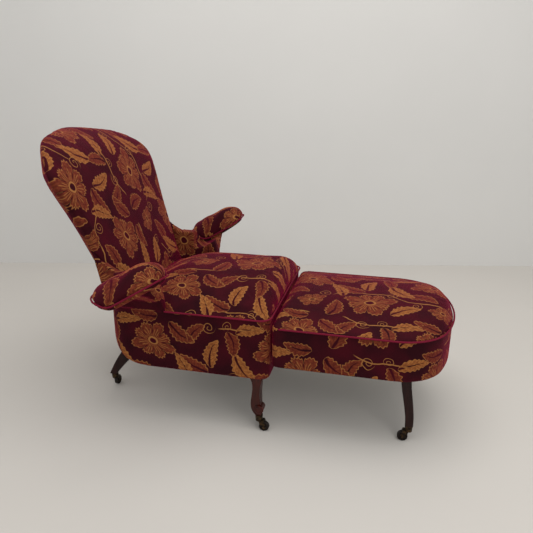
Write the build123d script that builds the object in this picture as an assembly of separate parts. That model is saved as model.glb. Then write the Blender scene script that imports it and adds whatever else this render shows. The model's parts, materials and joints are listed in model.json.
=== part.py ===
from build123d import *
import os
from math import atan2, cos, pi, radians, sin, sqrt

os.makedirs("parts", exist_ok=True)

# Upholstered armchair on castors with a footstool that hooks on in front of it.
# Millimetres and degrees. X runs from the chair's back to the stool's end, Y to the
# sitter's left, Z up. The origin is on the floor, under the middle of the whole object.

# Chair body
seat_width = 550.0
body_depth = 534.0
underside_height = 188.0
seat_edge_height = 385.0
front_corner_radius = 32.0
rear_corner_radius = 80.0
rear_sweep_radius = 132.0
cover_thickness = 6.0
rail_thickness = 28.0
rail_height = 84.0
dust_cover_thickness = 1.2
seat_crown = 82.0
seat_crown_run = 255.0
seat_tuck = 20.0
webbing_width = 50.0
webbing_thickness = 2.0
webbing_rows = 4
webbing_columns = 4

# Chair back
back_foot_inset = 46.0
recline_angle = 19.5
straight_back_length = 391.0
roll_radius = 224.0
roll_angle = 59.5
back_half_width = 328.0
back_thickness = 40.0
back_crown = 25.0
back_taper = 34.0
back_frame_thickness = 22.0
back_frame_width = 52.0
back_frame_margin = 8.0
back_post_width = 46.0
back_post_offset = 150.0
back_tail = 60.0

# Arms
arm_front_inset = 206.0
arm_length = 148.0
arm_thickness = 30.0
arm_swell = 155.0
arm_swell_height = 110.0
arm_front_lean = 24.0
arm_inner_inset = 24.0
arm_corner_radius = 12.0
arm_post_width = 18.0
arm_post_length = 44.0
arm_post_inset = 150.0
arm_wing_height = 105.0
wing_rise = 113.0
wing_tip_rise = 219.0
wing_hollow = 15.0
wing_thickness = 44.0
wing_tuck = 12.0
wing_lap = 52.0
arm_board_thickness = 12.0
arm_board_margin = 5.0
arm_pad_rear_inset = 56.0
arm_pad_offset = 399.0
arm_pad_rise = 87.0
arm_pad_width = 156.0
arm_pad_crown = 71.0
arm_pad_rear_length = 60.0
arm_pad_rear_dip = 8.0
arm_pad_bend_radius = 60.0
arm_pad_front_length = 133.0
arm_pad_tilt = 31.0
arm_pad_roll = 5.0

# Piping along the seams
piping_radius = 3.2
arm_piping_radius = 2.6
piping_sides = 8

# Legs
leg_block = 42.0
front_leg_setback = 39.0
front_leg_margin = 6.0
front_leg_splay = 8.0
front_leg_toe_reach = 7.0
front_leg_heel = 2.0
front_leg_ankle_width = 30.0
front_leg_ankle_height = 108.0
scroll_radius = 14.0
scroll_height = 80.0
scroll_setback = 4.0
scroll_eye_height = 1.5
rear_leg_spread = 236.0
rear_leg_width = 32.0
rear_leg_block_depth = 38.0
rear_foot_reach = 72.0
rear_foot_depth = 24.0
rear_leg_heel_height = 222.0
rear_bow_reach = 39.0
rear_bow_height = 137.0
rear_hollow_reach = 15.0
rear_hollow_height = 108.0
leg_edge_radius = 4.0

# Stool
stool_gap = 7.5
stool_length = 535.0
stool_width = 546.0
stool_underside_height = 236.0
stool_edge_height = 364.0
stool_near_radius = 22.0
stool_end_radius = 150.0
stool_end_bow = 85.0
stool_crown = 42.0
stool_crown_run = 262.0
stool_rail_thickness = 25.0
stool_rail_height = 70.0
stool_leg_top = 32.0
stool_leg_foot = 24.0
stool_leg_end_inset = 134.0
stool_leg_side_inset = 76.0
stool_leg_rake = 21.0
stool_leg_splay = 6.0

# Hooks and keepers between stool and chair
hook_spacing = 300.0
hook_width = 36.0
hook_metal = 2.5
hook_clearance = 0.3
hook_tongue_length = 27.0
hook_plate_height = 34.0
keeper_flange = 10.0
keeper_height = 30.0
keeper_base_height = 238.0

# Castors
wheel_radius = 16.0
wheel_width = 13.0
wheel_groove_depth = 1.6
wheel_rim_depth = 4.0
wheel_bevel = 1.5
axle_head = 1.6
wheel_hub_radius = 6.5
wheel_hub_width = 15.0
axle_radius = 2.5
running_clearance = 0.05
fork_metal = 2.6
fork_side_gap = 0.6
fork_top_gap = 3.0
castor_trail = 17.0
front_heading = 0.0
back_heading = 180.0
side_heading = 90.0
pintle_radius = 4.0
pintle_head_radius = 6.0
pintle_head_height = 3.0
socket_wall = 2.4
socket_floor = 4.0
socket_height = 14.0
socket_taper = 1.4
shank_radius = 8.5
shank_clearance = 0.1

# Shared small sizes
seat_gap = 0.3
overrun = 40.0

# Places worked out from the sizes above
half_width = seat_width / 2
back_foot_setback = body_depth - back_foot_inset
arm_front_setback = body_depth - arm_front_inset
arm_pad_height = seat_edge_height + arm_pad_rise
arm_pad_bend = radians(arm_pad_tilt + arm_pad_rear_dip)
arm_pad_length = arm_pad_rear_length + arm_pad_bend_radius * arm_pad_bend + arm_pad_front_length
rear_foot_setback = body_depth + rear_foot_reach
stool_reach = stool_gap + stool_length
roll_end_angle = recline_angle + roll_angle
roll_run = roll_radius * (cos(radians(recline_angle)) - cos(radians(roll_end_angle)))
back_run = back_foot_setback + straight_back_length * sin(radians(recline_angle)) + roll_run
back_reach = back_run + back_thickness * cos(radians(roll_end_angle))
seat_front_x = (back_reach - stool_reach) / 2
rail_top_height = underside_height + rail_height
rail_inset = cover_thickness + rail_thickness
fork_top = 2 * wheel_radius + fork_top_gap + fork_metal
socket_base = fork_top + seat_gap
leg_end_height = socket_base + socket_floor

# Shares chosen by hand for the flowing outlines
back_station_shares = (0, 0.15, 0.27, 0.36, 0.56, 0.75, 0.84, 0.91, 0.955, 0.985, 1)
back_width_shares = (0.77, 0.76, 0.80, 0.83, 0.93, 1, 0.86, 0.67, 0.43, 0.24, 0.10)
back_crown_shares = (1, 1, 1, 1, 1, 0.95, 0.85, 0.7, 0.55, 0.4, 0.3)
shoulder_share = 0.6
leg_station_shares = (0, 0.33, 0.67, 1)
arm_height_shares = (0.35, 0.65, 1)
corner_limit_share = 0.33
crown_shares = (0, 0.08, 0.22, 0.42, 0.66, 0.9)
crown_power = 2.2
pad_station_shares = (0.01, 0.05, 0.13, 0.26, 0.45, 0.62, 0.76, 0.88, 0.96, 0.99)
end_run_share = 0.2
pad_taper_power = 1.15
corner_power = 0.9


def save(shape, name):
    export_step(shape, "parts/" + name + ".step")


def both_sides(build, name):
    right = build()
    save(right, name + "_right")
    save(mirror(right, about=Plane.XZ), name + "_left")
    return right


def block(x_low, x_high, y_low, y_high, z_low, z_high):
    size = (x_high - x_low, y_high - y_low, z_high - z_low)
    middle = ((x_low + x_high) / 2, (y_low + y_high) / 2, (z_low + z_high) / 2)
    return Pos(*middle) * Box(*size)


def mirrored_pair(shape):
    return shape + mirror(shape, about=Plane.XZ)


# Seat plan: straight sides, small front corners and wide rear corners
def chair_plan(inset, front_radius, rear_radius, end_inset):
    rear_x = seat_front_x - body_depth + end_inset
    front_x = seat_front_x - end_inset
    middle = Pos((rear_x + front_x) / 2, 0)
    plan = middle * Rectangle(front_x - rear_x, seat_width - 2 * inset)
    plan = fillet(plan.vertices().group_by(Axis.X)[0], rear_radius)
    return fillet(plan.vertices().group_by(Axis.X)[-1], front_radius)


def chair_column(inset, low, high):
    front_radius = max(front_corner_radius - inset, leg_edge_radius)
    plan = chair_plan(inset, front_radius, rear_corner_radius - inset, inset)
    return Pos(0, 0, low) * extrude(plan, high - low)


# The underside sweeps up at the rear in one large curve
def rear_sweep(inset, high):
    rear_x = seat_front_x - body_depth + inset
    front_x = seat_front_x + overrun
    low = underside_height + inset
    middle = Pos((rear_x + front_x) / 2, 0, (low + high) / 2)
    side = middle * (Plane.XZ * Rectangle(front_x - rear_x, high - low))
    lower_rear = side.vertices().group_by(Axis.X)[0].sort_by(Axis.Z)[0]
    side = fillet(lower_rear, rear_sweep_radius - inset)
    return extrude(side, half_width + overrun, both=True)


def body_block(inset, high):
    column = chair_column(inset, underside_height, high)
    swept = column & rear_sweep(inset, high)
    if inset == 0:
        return swept
    flat_x = seat_front_x - body_depth + rear_sweep_radius
    flat = block(flat_x, seat_front_x, -half_width, half_width, underside_height, high)
    return swept + (column & flat)


# A crowned seat: plans that draw in as they rise, steepest at the seam
def crowned(plan, base, crown, run):
    faces = []
    for share in crown_shares:
        height = crown * (1 - (1 - share) ** crown_power)
        faces.append(Pos(0, 0, base + height) * plan(run * share))
    return loft(faces)


# Corners tighten as a crowned plan draws in
def drawn_in(radius, inset, half):
    return radius * (1 - inset / half) ** corner_power


def seat_crown_plan(inset):
    front_radius = front_corner_radius
    rear_radius = drawn_in(rear_corner_radius, inset, half_width)
    return chair_plan(inset, front_radius, rear_radius, end_run_share * inset)


# Stool plan: square at the chair, bowed at the far end with wide corners
def stool_plan(inset, end_inset, near_radius, end_radius):
    near_x = seat_front_x + stool_gap + end_inset
    side_y = stool_width / 2 - inset
    end_x = seat_front_x + stool_reach - end_inset
    side_x = end_x - stool_end_bow * side_y / (stool_width / 2)
    outline = Line((near_x, side_y), (near_x, -side_y))
    outline += Line((near_x, -side_y), (side_x, -side_y))
    outline += ThreePointArc((side_x, -side_y), (end_x, 0), (side_x, side_y))
    outline += Line((side_x, side_y), (near_x, side_y))
    plan = make_face(outline)
    plan = fillet(plan.vertices().group_by(Axis.X)[-1], end_radius)
    return fillet(plan.vertices().group_by(Axis.X)[0], near_radius)


def stool_column(inset, low, high):
    near_radius = max(stool_near_radius - inset, leg_edge_radius)
    plan = stool_plan(inset, inset, near_radius, stool_end_radius - inset)
    return Pos(0, 0, low) * extrude(plan, high - low)


def stool_crown_plan(inset):
    end_radius = drawn_in(stool_end_radius, inset, stool_width / 2)
    near_radius = drawn_in(stool_near_radius, inset, stool_width / 2)
    return stool_plan(inset, end_run_share * inset, near_radius, end_radius)


# The back's spine: a straight rise that rolls over backwards at the top
def spine_plane(distance):
    rise = min(distance, straight_back_length)
    turned = max(distance - straight_back_length, 0) / roll_radius
    start = radians(recline_angle)
    lean = start + turned
    setback = back_foot_setback + rise * sin(start) + roll_radius * (cos(start) - cos(lean))
    height = seat_edge_height + rise * cos(start) + roll_radius * (sin(lean) - sin(start))
    origin = (seat_front_x - setback, 0, height)
    return Plane(origin, x_dir=(0, -1, 0), z_dir=(-sin(lean), 0, cos(lean)))


# The upper edge of a stuffed section: one flat arc between two rounded shoulders
def crown_line(width, crown):
    shoulder = shoulder_share * crown
    reach = width - shoulder
    sweep = (reach ** 2 + crown ** 2 - shoulder ** 2) / (2 * (crown - shoulder))
    turn = atan2(sweep - crown, reach)
    join = (reach + shoulder * cos(turn), shoulder * sin(turn))
    bend = (reach + shoulder * cos(turn / 2), shoulder * sin(turn / 2))
    line = ThreePointArc((width, 0), bend, join)
    line += ThreePointArc(join, (0, crown), (-join[0], join[1]))
    return line + ThreePointArc((-join[0], join[1]), (-bend[0], bend[1]), (-width, 0))


# One cross-section of the back: a crowned front on sides that slant in to a flat rear
def back_section(plane, width, crown, rear):
    rear_width = width - min(back_taper, width / 2)
    outline = crown_line(width, crown)
    outline += Line((-width, 0), (-rear_width, -rear))
    outline += Line((-rear_width, -rear), (rear_width, -rear))
    outline += Line((rear_width, -rear), (width, 0))
    return plane * make_face(outline)


def back_form(margin, tail, top_margin):
    length = straight_back_length + roll_radius * radians(roll_angle)
    faces = []
    for along, wide, deep in zip(back_station_shares, back_width_shares, back_crown_shares):
        distance = -tail + along * (length + tail - top_margin)
        width = back_half_width * wide - margin
        faces.append(back_section(spine_plane(distance), width, back_crown * deep, back_thickness))
    return loft(faces)


# A layer of the back between two depths behind the rim, following the spine
def back_layer(near_depth, far_depth, reach):
    start = radians(recline_angle)
    outline = []
    for depth in (near_depth, far_depth):
        points = []
        for distance in (-reach, straight_back_length):
            points.append(spine_plane(distance).from_local_coords((0, -depth)))
        for share in (0.5, 1):
            distance = straight_back_length + share * roll_radius * (radians(roll_angle) + start)
            points.append(spine_plane(distance).from_local_coords((0, -depth)))
        outline.append(points)
    near, far = outline
    edges = Line(near[0], near[1]) + ThreePointArc(near[1], near[2], near[3])
    edges += Line(near[3], far[3]) + ThreePointArc(far[3], far[2], far[1])
    edges += Line(far[1], far[0]) + Line(far[0], near[0])
    return extrude(make_face(edges), back_half_width + overrun, both=True)


# Chair frame: rails between the leg blocks, and a bent rail round the rear
def chair_rail_ring():
    outer = body_block(cover_thickness, seat_edge_height)
    inner = chair_column(rail_inset, underside_height - overrun, seat_edge_height + overrun)
    low_x = seat_front_x - body_depth
    band = block(low_x, seat_front_x, -half_width, half_width, underside_height, rail_top_height)
    return (outer - inner) & band


front_block_rear = front_leg_setback + leg_block / 2
rear_seam_setback = body_depth - max(rear_corner_radius, rear_sweep_radius)


def front_rail(ring):
    low_x = seat_front_x - rail_inset
    side_y = half_width - front_leg_margin - leg_block
    return ring & block(low_x, seat_front_x, -side_y, side_y, underside_height, rail_top_height)


def side_rail(ring):
    low_x = seat_front_x - rear_seam_setback
    high_x = seat_front_x - front_block_rear
    return ring & block(low_x, high_x, -half_width, 0, underside_height, rail_top_height)


def back_rail(ring):
    low_x = seat_front_x - body_depth
    high_x = seat_front_x - rear_seam_setback
    return ring & block(low_x, high_x, -half_width, half_width, underside_height, rail_top_height)


# Woven strips under the seat, carried on the inner edge of the rails
def seat_webbing():
    low_x = seat_front_x - body_depth + rail_inset
    high_x = seat_front_x - rail_inset
    side_y = half_width - rail_inset
    low = underside_height
    high = low + webbing_thickness
    web = None
    for row in range(webbing_rows):
        middle = -side_y + (row + 1) * 2 * side_y / (webbing_rows + 1)
        edge = webbing_width / 2
        flat_low = seat_front_x - rear_seam_setback
        strip = block(flat_low, high_x, middle - edge, middle + edge, low, high)
        web = strip if web is None else web + strip
    for column in range(webbing_columns):
        run = high_x - flat_low
        middle = flat_low + (column + 1) * run / (webbing_columns + 1)
        web += block(middle - edge, middle + edge, -side_y, side_y, low, high)
    return web


# Padded covers round the seat frame, each from seam to seam
def chair_border(legs):
    outer = body_block(0, seat_edge_height)
    inner = body_block(cover_thickness, seat_edge_height)
    return outer - inner - legs


def cut_span(shape, rear_setback, front_setback, low_y, high_y):
    low_x = seat_front_x - rear_setback
    high_x = seat_front_x - front_setback
    high = seat_edge_height + overrun
    return shape & block(low_x, high_x, low_y, high_y, underside_height - overrun, high)


# Arms: the pad's seat dips a little at its rear, bends, and rises to the front
def pad_plane(distance):
    start = -radians(arm_pad_rear_dip)
    rear = min(distance, arm_pad_rear_length)
    bent = min(max(distance - arm_pad_rear_length, 0) / arm_pad_bend_radius, arm_pad_bend)
    front = max(distance - arm_pad_rear_length - arm_pad_bend_radius * arm_pad_bend, 0)
    lean = start + bent
    along = rear * cos(start) + arm_pad_bend_radius * (sin(lean) - sin(start)) + front * cos(lean)
    rise = rear * sin(start) + arm_pad_bend_radius * (cos(start) - cos(lean)) + front * sin(lean)
    rear_x = seat_front_x - body_depth + arm_pad_rear_inset
    origin = (rear_x + along, -arm_pad_offset, arm_pad_height + rise)
    return Plane(origin, x_dir=(0, 1, 0), z_dir=(cos(lean), 0, sin(lean)))


# The pad's side line at a height above its seat, from its rear to its front
def pad_line(height, rear_reach, front_reach):
    middle = arm_pad_rear_length + arm_pad_bend_radius * arm_pad_bend / 2
    bend_end = arm_pad_length - arm_pad_front_length
    places = (-rear_reach, arm_pad_rear_length, middle, bend_end, arm_pad_length + front_reach)
    points = [pad_plane(place).from_local_coords((0, height)) for place in places]
    line = Line(points[0], points[1]) + ThreePointArc(points[1], points[2], points[3])
    return line + Line(points[3], points[4]), points[0], points[4]


def pad_layer(low, high, reach):
    lower, lower_rear, lower_front = pad_line(low, reach, reach)
    upper, upper_rear, upper_front = pad_line(high, reach, reach)
    edges = lower + Line(lower_front, upper_front) + upper + Line(upper_rear, lower_rear)
    return rolled(extrude(make_face(edges), arm_pad_width, both=True))


# All that lies over a line below the pad's seat
def above_arm(depth):
    line, rear, front = pad_line(-depth, 0, overrun)
    top = arm_pad_height + arm_pad_length
    edges = line + Line(front, (front.X, front.Y, top))
    edges += Line((front.X, front.Y, top), (rear.X, rear.Y, top)) + Line((rear.X, rear.Y, top), rear)
    return rolled(extrude(make_face(edges), arm_pad_width + overrun, both=True))


def rolled(shape):
    centre = (0, -arm_pad_offset, arm_pad_height)
    return shape.rotate(Axis(centre, (1, 0, 0)), -arm_pad_roll)


def pad_column(grow):
    ends = [pad_plane(place).origin.X for place in (0, arm_pad_length)]
    size = ends[1] - ends[0] + 2 * grow
    slot = SlotOverall(size, arm_pad_width + 2 * grow)
    middle = ((ends[0] + ends[1]) / 2, -arm_pad_offset, arm_pad_height)
    return rolled(Pos(*middle) * extrude(slot, arm_pad_length, both=True))


def arm_section(height, rear_setback, length, inner_inset, thickness):
    rise = max(height - seat_edge_height, 0) / arm_swell_height
    thick = thickness + arm_swell * rise ** 2
    length = length - arm_front_lean * rise ** 2 * length / arm_length
    middle_x = seat_front_x - rear_setback + length / 2
    middle_y = -(half_width - inner_inset + thick / 2)
    corner = min(arm_corner_radius, thickness * corner_limit_share)
    return Pos(middle_x, middle_y, height) * RectangleRounded(length, thick, corner)


def arm_frame():
    heights = [rail_top_height, seat_edge_height]
    heights += [seat_edge_height + share * arm_wing_height for share in arm_height_shares]
    post_rear = body_depth - arm_post_inset + arm_post_length / 2
    inner_inset = cover_thickness + arm_post_width
    faces = [arm_section(h, post_rear, arm_post_length, inner_inset, arm_post_width) for h in heights]
    post = loft(faces, ruled=True) - above_arm(arm_board_thickness)
    board = pad_layer(-arm_board_thickness, 0, 0) & pad_column(-arm_board_margin)
    return post + board


def arm_cover(frame, back, pad):
    heights = [seat_edge_height]
    heights += [seat_edge_height + share * arm_wing_height for share in arm_height_shares]
    rear = arm_front_setback + arm_length
    faces = [arm_section(h, rear, arm_length, arm_inner_inset, arm_thickness) for h in heights]
    cover = loft(faces, ruled=True) - above_arm(arm_board_thickness)
    return cover + wing() - frame - back - pad


# The wing: a hollow sweep that carries the arm's top up along the edge of the back
def wing():
    knee = Vector(seat_front_x - body_depth + arm_pad_rear_inset, 0, seat_edge_height + wing_rise)
    front = knee + Vector(wing_lap, 0, 0)
    tip_plane = spine_plane(wing_tip_rise / cos(radians(recline_angle)))
    tip = tip_plane.from_local_coords((0, -wing_tuck))
    foot = spine_plane(wing_tuck).from_local_coords((0, -wing_tuck))
    toe = Vector(front.X, 0, foot.Z)
    sink = (tip - knee).normalized().cross(Vector(0, 1, 0)) * wing_hollow
    edges = Line(front, knee) + ThreePointArc(knee, (knee + tip) / 2 + sink, tip)
    edges += Line(tip, foot) + Line(foot, toe) + Line(toe, front)
    side = Pos(0, arm_inner_inset - half_width - wing_thickness / 2, 0) * make_face(edges)
    return extrude(side, wing_thickness / 2, both=True)


def arm_pad():
    rear_x = pad_plane(0).origin.X
    front_x = pad_plane(arm_pad_length).origin.X
    half = arm_pad_width / 2
    faces = []
    for share in pad_station_shares:
        origin = pad_plane(share * arm_pad_length).origin
        plane = Plane(origin, x_dir=(0, 1, 0), z_dir=(1, 0, 0))
        end = min(origin.X - rear_x, front_x - origin.X, half) / half
        width = half * sqrt(1 - (1 - end) ** 2)
        crown = arm_pad_crown * (width / half) ** pad_taper_power
        faces.append(plane * make_face(crown_line(width, crown) + Line((-width, 0), (width, 0))))
    return rolled(loft(faces)) & above_arm(0)


def arm_piping():
    width = 2 * arm_piping_radius
    ring = pad_column(seat_gap + width) - pad_column(seat_gap)
    return ring & pad_layer(-arm_piping_radius, arm_piping_radius, seat_gap + width)


def tube(path, radius):
    section = Plane(path @ 0, z_dir=path % 0) * RegularPolygon(radius, piping_sides)
    return sweep(section, path)


# The back: a pad round a wooden frame, with a padded cover behind
def back_frame(form):
    rear = back_thickness - cover_thickness
    front = rear - back_frame_thickness
    layer = back_layer(front, rear, back_tail)
    inside = back_form(back_frame_margin, back_tail, back_frame_margin)
    window_margin = back_frame_margin + back_frame_width
    window = back_form(window_margin, -back_frame_width, window_margin)
    post_low = seat_front_x - body_depth + cover_thickness
    post_high = post_low + rail_thickness
    low_y = back_post_offset - back_post_width / 2
    high_y = back_post_offset + back_post_width / 2
    post = block(post_low, post_high, -high_y, -low_y, rail_top_height, seat_edge_height)
    post = post & body_block(cover_thickness, seat_edge_height)
    return (inside & layer & above_seat()) - window + mirrored_pair(post)


def above_seat():
    high = seat_edge_height + straight_back_length + roll_radius + overrun
    side_y = back_half_width + overrun
    low_x = seat_front_x - back_reach - overrun
    return block(low_x, seat_front_x, -side_y, side_y, seat_edge_height, high)


def rear_half(depth):
    return back_layer(depth, depth + back_thickness + overrun, back_tail)


# Seat pad: a padded block on the rails under a full crown, shaped to back and arms
def seat_pad(neighbours):
    base = chair_column(cover_thickness, rail_top_height, seat_edge_height)
    base = base & rear_sweep(cover_thickness, seat_edge_height)
    top = crowned(seat_crown_plan, seat_edge_height, seat_crown, seat_crown_run)
    tuck_x = seat_front_x - back_foot_setback - seat_tuck
    high = seat_edge_height + seat_crown
    side_y = half_width + overrun
    shown = block(tuck_x, seat_front_x + overrun, -side_y, side_y, seat_edge_height, high)
    dome = top & shown
    for neighbour in neighbours:
        base -= neighbour
        dome -= neighbour
    return base + dome


# Front leg: a square block in the frame, a tapered shaft and a scrolled toe
def front_leg():
    block_half = leg_block / 2
    ankle_half = front_leg_ankle_width / 2
    shank_top = leg_end_height + socket_height
    middle_y = half_width - front_leg_margin - block_half
    toe = front_leg_toe_reach
    side = Line((-block_half, rail_top_height), (-block_half, underside_height))
    side += Spline(
        (-block_half, underside_height),
        (-ankle_half - front_leg_heel, front_leg_ankle_height),
        (-scroll_radius, scroll_height - scroll_radius / 2),
        (toe - shank_radius, shank_top),
    )
    side += Line((toe - shank_radius, shank_top), (toe + shank_radius, shank_top))
    side += Spline(
        (toe + shank_radius, shank_top),
        (toe + shank_radius, scroll_height - scroll_radius / 2),
        (ankle_half - front_leg_heel, front_leg_ankle_height),
        (block_half, underside_height),
    )
    side += Line((block_half, underside_height), (block_half, rail_top_height))
    side += Line((block_half, rail_top_height), (-block_half, rail_top_height))
    front = Line((-block_half, rail_top_height), (-block_half, underside_height))
    front += Spline(
        (-block_half, underside_height),
        (-ankle_half - front_leg_splay / 2, front_leg_ankle_height),
        (-front_leg_splay - shank_radius, shank_top),
    )
    front += Line((-front_leg_splay - shank_radius, shank_top), (shank_radius - front_leg_splay, shank_top))
    front += Spline(
        (shank_radius - front_leg_splay, shank_top),
        (ankle_half - front_leg_splay / 2, front_leg_ankle_height),
        (block_half, underside_height),
    )
    front += Line((block_half, underside_height), (block_half, rail_top_height))
    front += Line((block_half, rail_top_height), (-block_half, rail_top_height))
    shaft = extrude(Plane.XZ * make_face(side), leg_block, both=True)
    shaft = shaft & extrude(Plane.YZ * make_face(front), 2 * leg_block, both=True)
    scroll_x = block_half + toe - scroll_radius - scroll_setback
    scroll = Pos(scroll_x, -front_leg_splay, scroll_height) * Rot(X=90)
    scroll = scroll * Cylinder(scroll_radius, front_leg_ankle_width)
    eye = Pos(scroll_x, -front_leg_splay, scroll_height) * Rot(X=90)
    eye = eye * Cylinder(scroll_radius / 2, front_leg_ankle_width + 2 * scroll_eye_height)
    shaft = shaft + scroll + eye + shank(toe, -front_leg_splay)
    placed = Pos(seat_front_x - front_leg_setback, -middle_y, 0) * shaft
    return placed


# The round end of a leg that stands in a castor cup, hollow round the pintle head
def shank(x, y):
    low = leg_end_height
    top = low + socket_height
    stem = Pos(x, y, (low + top) / 2) * Cylinder(shank_radius, top - low)
    hollow_height = pintle_head_height + 2 * seat_gap
    hollow_radius = pintle_head_radius + seat_gap
    return stem - Pos(x, y, low + hollow_height / 2) * Cylinder(hollow_radius, hollow_height)


# Rear leg: a flat sabre that bows back and down from a block inside the rear rail
def rear_leg():
    front_x = seat_front_x - body_depth + rail_inset + rear_leg_block_depth
    rear_x = front_x - rear_leg_block_depth
    foot_x = seat_front_x - rear_foot_setback
    shank_top = leg_end_height + socket_height
    bow = (seat_front_x - body_depth - rear_bow_reach, rear_bow_height)
    hollow = (seat_front_x - body_depth - rear_hollow_reach, rear_hollow_height)
    heel = (foot_x - rear_foot_depth / 2, shank_top)
    toe = (foot_x + rear_foot_depth / 2, shank_top)
    side = Line((front_x, rail_top_height), (rear_x, rail_top_height))
    side += Line((rear_x, rail_top_height), (rear_x, rear_leg_heel_height))
    side += ThreePointArc((rear_x, rear_leg_heel_height), bow, heel)
    side += Line(heel, toe)
    side += ThreePointArc(toe, hollow, (front_x, underside_height))
    side += Line((front_x, underside_height), (front_x, rail_top_height))
    sabre = extrude(Plane.XZ * make_face(side), rear_leg_width / 2, both=True)
    sabre = fillet(sabre.edges().filter_by(GeomType.CIRCLE), leg_edge_radius)
    sabre = sabre + shank(foot_x, 0)
    return Pos(0, -rear_leg_spread / 2, 0) * sabre


# Stool leg: a square taper that sweeps gently out towards its castor
def stool_leg():
    top = stool_underside_height + stool_rail_height
    shank_top = leg_end_height + socket_height
    faces = []
    for share in leg_station_shares:
        height = stool_underside_height + share * (shank_top - stool_underside_height)
        eased = (1 - cos(share * pi)) / 2
        width = stool_leg_top + share * (stool_leg_foot - stool_leg_top)
        place = Pos(stool_leg_rake * eased, -stool_leg_splay * eased, height)
        faces.append(place * RectangleRounded(width, width, leg_edge_radius))
    head_middle = (top + stool_underside_height) / 2
    head = Pos(0, 0, head_middle) * extrude_block(stool_leg_top, stool_rail_height)
    leg = head + loft(faces) + shank(stool_leg_rake, -stool_leg_splay)
    leg_x = seat_front_x + stool_reach - stool_leg_end_inset
    return Pos(leg_x, -(stool_width / 2 - stool_leg_side_inset), 0) * leg


def extrude_block(width, height):
    face = RectangleRounded(width, width, leg_edge_radius)
    return Pos(0, 0, -height / 2) * extrude(face, height)


# Stool frame, cover and pad
def stool_rail_ring():
    top = stool_underside_height + stool_rail_height
    inner_inset = cover_thickness + stool_rail_thickness
    inner = stool_column(inner_inset, stool_underside_height - overrun, top + overrun)
    return stool_column(cover_thickness, stool_underside_height, top) - inner


def stool_border():
    inner_low = stool_underside_height - overrun
    inner = stool_column(cover_thickness, inner_low, stool_edge_height + overrun)
    return stool_column(0, stool_underside_height, stool_edge_height) - inner


def stool_pad():
    low = stool_underside_height + stool_rail_height
    base = stool_column(cover_thickness, low, stool_edge_height)
    return base + crowned(stool_crown_plan, stool_edge_height, stool_crown, stool_crown_run)


def stool_span(shape, near_share, far_share, low_y, high_y):
    near_x = seat_front_x + stool_gap + near_share
    far_x = seat_front_x + stool_gap + far_share
    return shape & block(near_x, far_x, low_y, high_y, 0, stool_edge_height + overrun)


# Piping runs outside the seam, a hair clear of the cloth on both sides of it
def seat_piping():
    grow = piping_radius + seat_gap
    front_x = seat_front_x + grow
    side_y = half_width + grow
    corner = front_corner_radius + grow
    rear_x = seat_front_x - arm_front_setback
    corners = [(rear_x, -side_y), (front_x, -side_y), (front_x, side_y), (rear_x, side_y)]
    return Pos(0, 0, seat_edge_height) * tube(FilletPolyline(*corners, radius=corner), piping_radius)


def stool_piping():
    grow = piping_radius + seat_gap
    plan = stool_plan(-grow, -grow, stool_near_radius + grow, stool_end_radius + grow)
    keep_x = seat_front_x + stool_gap + stool_near_radius
    far_x = seat_front_x + stool_reach + overrun
    ring = tube(plan.face().outer_wire(), piping_radius)
    side_y = stool_width / 2 + overrun
    span = block(keep_x, far_x, -side_y, side_y, -overrun, overrun)
    return Pos(0, 0, stool_edge_height) * (ring & span)


# Keeper: a strap across the chair's front that stands off to leave a slot
def hook_keeper():
    slot_half = hook_width / 2 + hook_clearance
    arm_half = slot_half + hook_metal
    flange_half = arm_half + keeper_flange
    slot_depth = hook_metal + 2 * hook_clearance
    face = seat_front_x
    low = keeper_base_height
    high = keeper_base_height + keeper_height
    strap = block(face, face + slot_depth + hook_metal, -arm_half, arm_half, low, high)
    slot = block(face, face + slot_depth, -slot_half, slot_half, low, high)
    flange = block(face, face + hook_metal, -flange_half, flange_half, low, high)
    return Pos(0, -hook_spacing / 2, 0) * (strap + flange - slot)


# Hook: a plate on the stool, a bend over the keeper and a tongue down its slot
def stool_hook():
    half = hook_width / 2
    keeper_top = keeper_base_height + keeper_height
    shelf = keeper_top + hook_clearance
    tongue_x = seat_front_x + hook_clearance
    stool_face = seat_front_x + stool_gap
    plate = block(stool_face - hook_metal, stool_face, -half, half, shelf, shelf + hook_plate_height)
    bend = block(tongue_x, stool_face, -half, half, shelf, shelf + hook_metal)
    tongue = block(tongue_x, tongue_x + hook_metal, -half, half, shelf - hook_tongue_length, shelf)
    return Pos(0, -hook_spacing / 2, 0) * (plate + bend + tongue)


# Castor: a cup on the leg, a swivelling fork with its axle, and a wheel
def castor_socket():
    low = socket_base
    rim = leg_end_height + socket_height
    bore = pintle_radius + running_clearance
    inner = shank_radius + shank_clearance
    base = inner + socket_wall
    top = base + socket_taper
    points = [(bore, low), (base, low), (top, rim), (inner, rim), (inner, leg_end_height), (bore, leg_end_height)]
    return revolve(Plane.XZ * make_face(Polyline(*points, close=True)), Axis.Z)


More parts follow.
